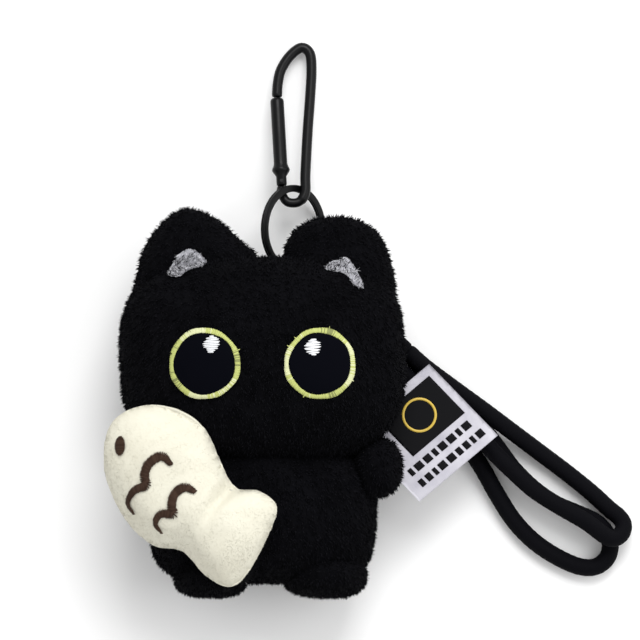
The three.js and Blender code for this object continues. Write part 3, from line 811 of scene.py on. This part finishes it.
def make_eye(side, glint):
    """A padded satin disc, two layers of stitches round it, and a white spark at glint."""
    cx, cy = EYES[side]
    groove = EYE_RADIUS - EYE_RING
    rings, around, verts, faces = 14, 72, [], []
    for top, order in ((True, range(rings)), (False, reversed(range(rings)))):
        for k in order:
            r = groove * (k + 1) / rings
            lift = 1.5 * MM - 0.5 * MM * ((k + 1) / rings) ** 3 if top else 0.1 * MM
            for j in range(around):
                t = 2 * math.pi * j / around
                verts.append(on_head(cx + r * math.cos(t), cy + r * math.sin(t), lift))
    for k in range(2 * rings - 1):
        for j in range(around):
            i, n = k * around + j, k * around + (j + 1) % around
            faces.append((i, i + around, n + around, n))
    faces.append(tuple(range(around)))
    faces.append(tuple(reversed(range((2 * rings - 1) * around, 2 * rings * around))))
    add_piece(f"eye_satin_{side}", verts, faces, ["eye_satin"],
              replaces=[f"eye_disc_{side}"])

    rng = np.random.default_rng(61 if side == "left" else 62)
    ring = Stitches(63)
    phase = rng.uniform(0, 6, 4)
    for layer, (count, radius, lift) in enumerate(((130, 0.33 * MM, 0.7 * MM), (210, 0.17 * MM, 1.0 * MM))):
        for k in range(count):
            t = 2 * math.pi * (k + rng.uniform(-0.15, 0.15)) / count
            wobble = 0.14 * math.sin(3 * t + phase[0]) + 0.1 * math.sin(8 * t + phase[1])
            inner = groove - 0.05 * MM + (0.14 * math.sin(5 * t + phase[2]) + rng.uniform(-0.06, 0.04)) * MM
            outer = EYE_RADIUS + (wobble - 0.15 + rng.uniform(-0.05, 0.05)) * MM
            if layer and rng.random() < 0.02:
                outer += 0.6 * MM
            start = on_head(cx + inner * math.cos(t), cy + inner * math.sin(t), lift)
            end = on_head(cx + outer * math.cos(t), cy + outer * math.sin(t), lift - 0.2 * MM)
            shade = math.sin(2 * t + phase[3]) + 0.6 * math.sin(5 * t + phase[1]) + rng.normal(0, 0.35)
            tone = 1 if shade > 0.55 else (2 if shade < -1.35 else 0)
            ring.add(start, end, radius, tuple(HEAD.normal(*start[:2])), tone=tone)
    ring.piece(f"eye_stitches_{side}", ["thread_lime", "thread_straw", "thread_olive"], "eye_thread",
               [f"eye_ring_{side}"])

    gx, gy, gw, gh = (value * MM for value in glint)
    spot = Stitches(64)
    for k in range(10):
        v = -1 + 2 * (k + 0.5) / 10
        half = gw * math.sqrt(max(0.08, 1 - v * v))
        left, right = half + rng.uniform(-0.5, 0.35) * MM, half + rng.uniform(-0.5, 0.35) * MM
        slope = rng.uniform(-0.15, 0.25) * MM
        start = on_head(gx - left, gy + v * gh - slope, 1.5 * MM)
        end = on_head(gx + right, gy + v * gh + slope, 1.5 * MM)
        spot.add(start, end, 0.26 * MM, tuple(HEAD.normal(gx, gy)), 1, 0.12 * MM)
    spot.piece(f"eye_spark_{side}", ["thread_white"], "white_thread", [f"eye_glint_{side}"])


# ---- fish
FOLD_START, FOLD_END = np.array((9.6, 2.6)) * MM, np.array((-3.0, -14.6)) * MM


def fold_depth(x, y):
    """A shallow valley across the fish where the body meets the tail."""
    axis = FOLD_END - FOLD_START
    length = np.linalg.norm(axis)
    axis = axis / length
    dx, dy = x - FOLD_START[0], y - FOLD_START[1]
    along = (dx * axis[0] + dy * axis[1]) / length
    across = dx * axis[1] - dy * axis[0]
    fade = np.exp(-np.clip(along, 0, None) * 2.2) * np.exp(-np.clip(-along, 0, None) * 9)
    return 3.2 * MM * fade * np.exp(-(across / (2.2 * MM)) ** 2)


def fish_front(x, y):
    return FISH.top(x, y) - fold_depth(np.asarray(x), np.asarray(y))


def clear_of_cat(front, back):
    """Fish surfaces in the model's frame, resting on the head and torso."""
    front, back = fish_to_world(front), fish_to_world(back)
    for surface, gap in ((back, 0.5 * MM), (front, 1.6 * MM)):
        for form in (HEAD, TORSO):
            over = form.inside(surface)
            floor = form.top(surface[:, 0], surface[:, 1]) + gap
            surface[:, 2] = np.where(over, np.maximum(surface[:, 2], floor), surface[:, 2])
    front[:, 2] = np.maximum(front[:, 2], back[:, 2])
    return front, back


def shape_fish(front, back):
    front = front.copy()
    front[:, 2] -= fold_depth(front[:, 0], front[:, 1])
    return clear_of_cat(front, back)


FISH_SKIN = []  # the fish's front cloth, once make_fish() has made it


def on_fish(x, y, lift):
    """A point of the fish's front, given in the flat pattern's own plane, raised by lift."""
    guess = Vector(fish_to_world((x, y, float(fish_front(x, y)))))
    place, normal, _, _ = FISH_SKIN[0].ray_cast(guess + Vector((0, 0, 0.03)), Vector((0, 0, -1)))
    if place is None:
        place, normal, _, _ = FISH_SKIN[0].find_nearest(guess)
    return np.array(place + normal * lift)


def swell(verts, faces, cap, rim):
    """Points after a short cloth simulation under pressure, each held near where it started.

    The first rim points keep their x and y. The trial mesh is ten times life size, where the solver is steady.
    """
    verts = np.asarray(verts, float)
    scene = bpy.context.scene
    grown, last_frame = 10, 20
    mesh = bpy.data.meshes.new("cloth_trial")
    mesh.from_pydata([tuple(v * grown) for v in verts], [], faces)
    trial = bpy.data.objects.new("cloth_trial", mesh)
    put(trial)
    cloth = trial.modifiers.new("cloth", "CLOTH")
    cloth.settings.use_pressure = True
    cloth.settings.uniform_pressure_force = 3
    cloth.settings.effector_weights.gravity = 0
    cloth.settings.tension_stiffness = 10
    cloth.settings.compression_stiffness = 10
    cloth.settings.shear_stiffness = 5
    cloth.point_cache.frame_start = 1
    cloth.point_cache.frame_end = last_frame
    for number in range(1, last_frame + 1):
        scene.frame_set(number)
    shaped = trial.evaluated_get(bpy.context.evaluated_depsgraph_get()).data
    moved = np.array([tuple(v.co) for v in shaped.vertices]) / grown - verts
    scene.frame_set(1)
    bpy.data.objects.remove(trial)
    bpy.data.meshes.remove(mesh)
    far = np.linalg.norm(moved, axis=1, keepdims=True)
    moved = moved * np.minimum(1, cap / np.maximum(far, 1e-9))
    moved[:rim, :2] = 0
    return verts + moved


def shape_fill(front, back):
    """The fish's filling, kept 1 mm inside its cloth."""
    front, back = shape_fish(front, back)
    back[:, 2] += 1.0 * MM
    front[:, 2] = np.maximum(front[:, 2] - 1.0 * MM, back[:, 2] + 0.1 * MM)
    return front, back


def make_fish():
    verts, faces = closed_pillow(FISH, 0.8 * MM, 0.7 * MM, 71, shape_fish)
    verts = swell(verts, faces, 0.9 * MM, len(FISH.edge))
    half = len(faces) // 2
    FISH_SKIN.append(BVHTree.FromPolygons([tuple(v) for v in verts], faces[:half]))
    for end, part in (("front", faces[:half]), ("back", faces[half:])):
        used = sorted({i for f in part for i in f})
        renumber = {old: new for new, old in enumerate(used)}
        piece = add_piece(f"fish_plush_{end}", [verts[i] for i in used],
                          [tuple(renumber[i] for i in f) for f in part], ["cream_cloth"],
                          replaces=[f"fish_{end}_panel"])
        thicken(piece, 0.5 * MM)
        grow_pile(f"fish_pile_{end}", piece, 11, 0.34 * MM, 0.2 * MM, (0.5, -0.6, 0), "cream_pile", 72,
                  off_marks, lift=0.14, mess=0.16)
    slim = Pillow([(x * 0.82, y * 0.82) for x, y in FISH_OUTLINE], 90, 0, 6.2 * MM, 2.0 * MM, 0.8 * MM)
    verts, faces = closed_pillow(slim, 2.2 * MM, 0.4 * MM, 73, shape_fill)
    add_piece("fish_fill", verts, faces, ["fill"], replaces=["fish_stuffing"])


MARKS = {
    "upper": [
        (-6, 9), (-8.8, 11.3), (-12.4, 9), (-13.4, 5.4), (-12.8, 3.4), (-16.4, 1.8), (-18.4, -1.6),
        (-16.8, -4.6),
    ],
    "lower": [
        (0.6, 1.4), (-2.2, 2.7), (-5, 0.8), (-5.8, -2.8), (-5.3, -4.6), (-9, -4.6), (-10.6, -7.2), (-9, -9.8),
    ],
}
MARK_LINES = {name: open_curve(points, 0.3 * MM) for name, points in MARKS.items()}
FISH_EYE = (-20.6 * MM, 14 * MM)


def off_marks(root, up):
    local = world_to_fish(root)[:, :2]
    free = np.full(len(root), True)
    for line in MARK_LINES.values():
        gap = np.min(np.linalg.norm(local[:, None] - line[None, ::2], axis=2), axis=1)
        free &= gap > 0.9 * MM
    free &= np.hypot((local[:, 0] - FISH_EYE[0]) / 1.5, (local[:, 1] - FISH_EYE[1]) / 2.5) > 1 * MM
    return free | (up[:, 2] < 0)


BROWNS = ["thread_brown", "thread_umber"]


def make_fish_stitches():
    """The two scale marks, widest a third of the way along, and the round eye."""
    lift = 0.35 * MM
    for index, (name, line) in enumerate(MARK_LINES.items()):
        sewn = Stitches(81 + index)
        for k, (p, t) in enumerate(zip(line, unit(np.gradient(line, axis=0)))):
            share = k / (len(line) - 1)
            half = (0.35 + 0.95 * min(1, 6 * share + 0.3, 2.6 * (1 - share))) * MM
            half += sewn.rng.uniform(-0.1, 0.12) * MM
            across = np.array((-t[1], t[0])) * half + t * 0.25 * MM
            a, b = p - across, p + across
            sewn.add(on_fish(*a, lift), on_fish(*b, lift), 0.21 * MM, (0, 0, 1), 2, 0.25 * MM)
        sewn.piece(f"fish_stitches_{name}", BROWNS, "brown_thread", [f"fish_mark_{name}"])
    eye, rows = Stitches(85), 15
    for k in range(rows):
        v = -1 + 2 * (k + 0.5) / rows
        half = 1.6 * MM * math.sqrt(max(0.04, 1 - v * v))
        y = FISH_EYE[1] + v * 2.6 * MM
        a, b = (FISH_EYE[0] - half, y), (FISH_EYE[0] + half, y + 0.15 * MM)
        eye.add(on_fish(*a, lift), on_fish(*b, lift), 0.24 * MM, (0, 0, 1), 2, 0.2 * MM)
    eye.piece("fish_eye_stitches", BROWNS, "brown_thread", ["fish_eye"])


# ---- ring, hang tab and carabiner
RING_ALONG = np.array(JOINTS["ring_swing"]["axis"], float)
UP = np.array((0, 1.0, 0))
RING_MIDDLE, RING_HALF_WIDE, RING_HALF_THICK = 11.5 * MM, 0.98 * MM, 0.36 * MM
TAB_BACK, TAB_FRONT, TAB_RADIUS = -9.6, 1.0, 2.42 * MM  # from the ring's lowest point, along the tab


def box_middle(node):
    low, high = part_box(node)
    return np.array((low + high) / 2)


def make_ring():
    """A split ring: one flat strip wound nearly twice round, stepping across between its coils."""
    centre = box_middle("split_ring")
    axis = np.cross(RING_ALONG, UP)
    around, steps = 16, 300
    section = []
    for k in range(around):
        t = 2 * math.pi * k / around
        wide = RING_HALF_WIDE * abs(math.cos(t)) ** 0.4 * math.copysign(1, math.cos(t))
        thick = RING_HALF_THICK * abs(math.sin(t)) ** 0.4 * math.copysign(1, math.sin(t))
        section.append((wide, thick))
    verts = []
    for k in range(steps + 1):
        degrees = 20 + 680 * k / steps
        ramp = min(1.0, max(0.0, (degrees - 343) / 34))
        offset = (-0.37 + 0.74 * (ramp * ramp * (3 - 2 * ramp))) * MM
        angle = math.radians(degrees)
        outward = RING_ALONG * math.cos(angle) + UP * math.sin(angle)
        for wide, thick in section:
            verts.append(centre + outward * (RING_MIDDLE + wide) + axis * (offset + thick))
    add_piece("split_ring_coils", verts, tube_faces(steps + 1, around), ["enamel"], "ring",
              ["split_ring"])


def flat_band(path, side, width, thickness):
    """A closed ribbon with rounded edges along a path; side is its width direction."""
    top = [(-0.5, -0.5), (-0.25, -0.5), (0, -0.5), (0.25, -0.5), (0.5, -0.5), (0.56, 0)]
    section = top + [(-a, -b) for a, b in top]
    verts = []
    for p, t in zip(path, unit(np.gradient(path, axis=0))):
        out = np.cross(t, side)
        verts += [p + side * a * width + out * b * thickness for a, b in section]
    return verts, tube_faces(len(path), len(section))


def make_hang_tab():
    """The ribbon loop round the ring's lowest point."""
    low = box_middle("split_ring") - UP * RING_MIDDLE
    across = np.cross(RING_ALONG, UP)
    route = [low + UP * s * MM + across * TAB_RADIUS for s in np.linspace(TAB_BACK, TAB_FRONT, 24)]
    route += [low + UP * (TAB_FRONT * MM + TAB_RADIUS * math.sin(t)) + across * TAB_RADIUS * math.cos(t)
              for t in np.linspace(0, math.pi, 22)[1:-1]]
    route += [low + UP * s * MM - across * TAB_RADIUS for s in np.linspace(TAB_FRONT, TAB_BACK, 24)]
    verts, faces = flat_band(np.array(route), RING_ALONG, 6.75 * MM, 0.8 * MM)
    add_piece("hang_tab_ribbon", verts, faces, ["ribbon"], replaces=["hang_tab"])


def clip_matrix():
    """From the clip's own plane, with the gate's pivot at its origin, to the model's frame."""
    joint = JOINTS["gate_pivot"]
    z = -np.array(joint["axis"], float)
    y = np.cross(z, (1.0, 0, 0))
    pivot = np.array(joint["pos_m"], float)
    return Matrix([((1, 0, 0)[i], y[i], z[i], pivot[i]) for i in range(3)] + [(0, 0, 0, 1)])


GATE_PIVOT = (-3.1, 2.9)
GATE_LEAN = math.radians(3.2)
SPINE_END, SPINE_EXTRA = 62 * MM, 0.15 * MM  # the wire is thicker this far along its path
CLIP_PATH = [
    (-4.4, 27.6), (-4.2, 31), (-3.3, 35), (-0.8, 39), (2.4, 41.4), (4.8, 39.8), (5.3, 35),
    (4.9, 27), (4.2, 17), (3.6, 5), (3.5, -0.4), (1.7, -3), (-1.4, -3), (-3.1, -0.6), (-3.1, 1.0),
]
GATE_PROFILE = [
    (0, -1.3), (1.2, -1.3), (1.45, -0.9), (1.45, 1.4), (2.3, 2.7), (2.55, 3.2), (2.35, 3.8),
    (1.95, 4.8), (1.9, 5.4), (1.9, 12), (1.9, 23), (1.75, 23.6), (1.3, 23.9), (0, 23.9),
]


def make_carabiner():
    place = clip_matrix()
    local = open_curve([(x - GATE_PIVOT[0], y - GATE_PIVOT[1], 0) for x, y in CLIP_PATH], 0.5 * MM)
    path = np.array([tuple(place @ Vector(p)) for p in local])
    verts, faces = rod(path, 1.3 * MM, 24, lambda turn, distance: SPINE_EXTRA if distance < SPINE_END else 0)
    add_piece("clip_wire", verts, faces, ["enamel"], "carabiner", ["carabiner_frame"])
    lean = place @ Matrix.Rotation(GATE_LEAN, 4, "Z")
    verts, faces = lathe(GATE_PROFILE, 32, lean)
    add_piece("clip_gate", verts, faces, ["enamel"], "gate", ["carabiner_gate"])
    for node, material in (("gate_pin", "enamel"), ("gate_spring", "spring_steel")):
        mesh = frame["nodes"][node].data
        mesh.materials.clear()
        mesh.materials.append(MATS[material])


# ---- cuff
CUFF_TURN = math.radians(-42)
CUFF_MOUTH = np.array((38.7, -0.1, 0)) * MM
CUFF_DEPTH, CUFF_WIDTH, CUFF_BASE = 7.2 * MM, 10.8 * MM, 0.15 * MM


def make_cuff():
    """The folded ribbon that grips both cords: a rounded block, pinched at its edges."""
    out = np.array((math.cos(CUFF_TURN), math.sin(CUFF_TURN), 0))
    side = np.array((-math.sin(CUFF_TURN), math.cos(CUFF_TURN), 0))
    rise = np.array((0, 0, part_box("strap_cuff")[1].z - CUFF_BASE))
    bm = bmesh.new()
    bmesh.ops.create_cube(bm, size=1)
    bmesh.ops.bevel(bm, geom=bm.edges[:], offset=0.16, segments=4, affect="EDGES", profile=0.6)
    long_edges = [e for e in bm.edges if e.calc_length() > 0.3]
    bmesh.ops.subdivide_edges(bm, edges=long_edges, cuts=5, use_grid_fill=True)
    for v in bm.verts:
        a, b, c = v.co.x - 0.5, v.co.y, v.co.z + 0.5
        pinch = 1 - 0.05 * math.cos(math.pi * (c - 0.5)) * abs(b) * 2
        v.co = (CUFF_MOUTH + out * a * CUFF_DEPTH + side * b * CUFF_WIDTH * pinch + rise * c
                + np.array((0, 0, CUFF_BASE)))
    verts, faces = mesh_lists(bm)
    add_piece("strap_cuff_ribbon", verts, faces, ["ribbon"], replaces=["strap_cuff"])


# ---- label
LABEL_OUTLINE = [
    (46.6, -1.3), (39.4, -7.4), (33, -21.5), (33, -28.6), (43.9, -39.9), (65.9, -21.3),
]
LABEL_CORNER = np.array((24.6, -19.9)) * MM
LABEL_ACROSS = np.array((22, 18.6)) * MM
LABEL_DOWN = np.array((19.3, -20)) * MM


PRINT_HEIGHT = 0.12 * MM
LABEL_LEVEL, LABEL_DROOP, LABEL_CURL = 17.5 * MM, 1.6 * MM, 0.5 * MM


def label_height(x, y):
    """The label's middle surface, which droops and curls away from the body."""
    run = np.clip((np.asarray(x) - 36 * MM) / (30 * MM), 0, 1.2)
    curl = LABEL_CURL * np.sin(((np.asarray(y) + 22 * MM) / (18 * MM)) ** 2)
    return LABEL_LEVEL - LABEL_DROOP * run ** 1.5 + curl * run


def clip_left(polygon, inset):
    """The part of a polygon inside the label's hidden left edge."""
    start, end = (np.array(LABEL_OUTLINE[i]) * MM for i in (1, 2))
    inward = np.array((start[1] - end[1], end[0] - start[0])) / np.linalg.norm(end - start)
    depth = [float((p - start) @ inward) - inset for p in polygon]
    out = []
    for i, p in enumerate(polygon):
        j = (i + 1) % len(polygon)
        if depth[i] >= 0:
            out.append(p)
        if (depth[i] >= 0) != (depth[j] >= 0):
            out.append(p + (polygon[j] - p) * depth[i] / (depth[i] - depth[j]))
    return out


def slab(outline, spacing, base, thickness):
    """A thin closed sheet over a flat outline, following the label's surface."""
    edge = []
    for i, p in enumerate(outline):
        q = outline[(i + 1) % len(outline)]
        count = max(1, int(round(np.linalg.norm(q - p) / spacing)))
        edge += [p + (q - p) * k / count for k in range(count)]
    edge = np.array(edge)
    flat, tris = flat_pattern(edge, edge.min(0), spacing, 5)
    z = label_height(flat[:, 0], flat[:, 1]) + base
    verts = np.concatenate([np.column_stack([flat, z + thickness]), np.column_stack([flat, z])])
    return verts, sheet_faces(tris, len(flat), len(edge))


def label_point(u, v):
    return LABEL_CORNER + u * LABEL_ACROSS + v * LABEL_DOWN


def on_label(u0, v0, u1, v1):
    """A rectangle given in shares of the label's sides, cut off at its hidden edge."""
    corners = [(u0, v0), (u0, v1), (u1, v1), (u1, v0)]
    return clip_left([label_point(u, v) for u, v in corners], 0.2 * MM)


def print_on_label(name, shapes, material, base):
    verts, faces = [], []
    for shape in shapes:
        outline = on_label(*shape)
        if len(outline) < 3:
            continue
        more, tris = slab(outline, 0.6 * MM, base, PRINT_HEIGHT)
        faces += [tuple(i + len(verts) for i in f) for f in tris]
        verts += [tuple(v) for v in more]
    return add_piece(name, verts, faces, [material], "label")


def print_ring(name, middle, radius, width, material, base):
    """A plain round border as a thin closed band on the label."""
    centre = label_point(*middle)
    around, verts, faces = 64, [], []
    inner = radius - width
    for out, lift in ((radius, 0), (radius, PRINT_HEIGHT), (inner, PRINT_HEIGHT), (inner, 0)):
        for k in range(around):
            t = 2 * math.pi * k / around
            x, y = centre[0] + out * math.cos(t), centre[1] + out * math.sin(t)
            verts.append((x, y, float(label_height(x, y)) + base + lift))
    for ring in range(4):
        for k in range(around):
            a, b = ring * around, (ring + 1) % 4 * around
            n = (k + 1) % around
            faces.append((a + k, a + n, b + n, b + k))
    return add_piece(name, verts, faces, [material], "label")


def make_label():
    """The satin label with plain prints: a black square, a gold ring and two rows of dashes."""
    outline = [np.array(p) * MM for p in reversed(LABEL_OUTLINE)]
    verts, faces = slab(outline, 0.8 * MM, -0.25 * MM, 0.5 * MM)
    sheet = add_piece("satin_tag", verts, faces, ["satin"], "label", ["woven_label"])
    square = print_on_label("tag_square", [(0.26, 0.09, 0.92, 0.61)], "print_black", 0.24 * MM)
    gold = print_ring("tag_ring", (0.585, 0.33), 4.9 * MM, 0.7 * MM, "print_gold", 0.36 * MM)
    rng = np.random.default_rng(91)
    dashes = []
    for v0, v1 in ((0.68, 0.76), (0.83, 0.91)):
        u = 0.12
        while u < 0.9:
            wide = rng.uniform(0.03, 0.09)
            dashes.append((u, v0, min(u + wide, 0.94), v1))
            u += wide + 0.03
    marks = print_on_label("tag_dashes", dashes, "print_black", 0.24 * MM)


make_camera()
make_strap()
make_studio()
make_cat()
make_linings()
make_eye("left", (-14.1, 4.3, 2.2, 2.4))
make_eye("right", (14.0, 3.5, 2.2, 2.3))
make_fish()
make_fish_stitches()
make_ring()
make_hang_tab()
make_carabiner()
make_cuff()
make_label()
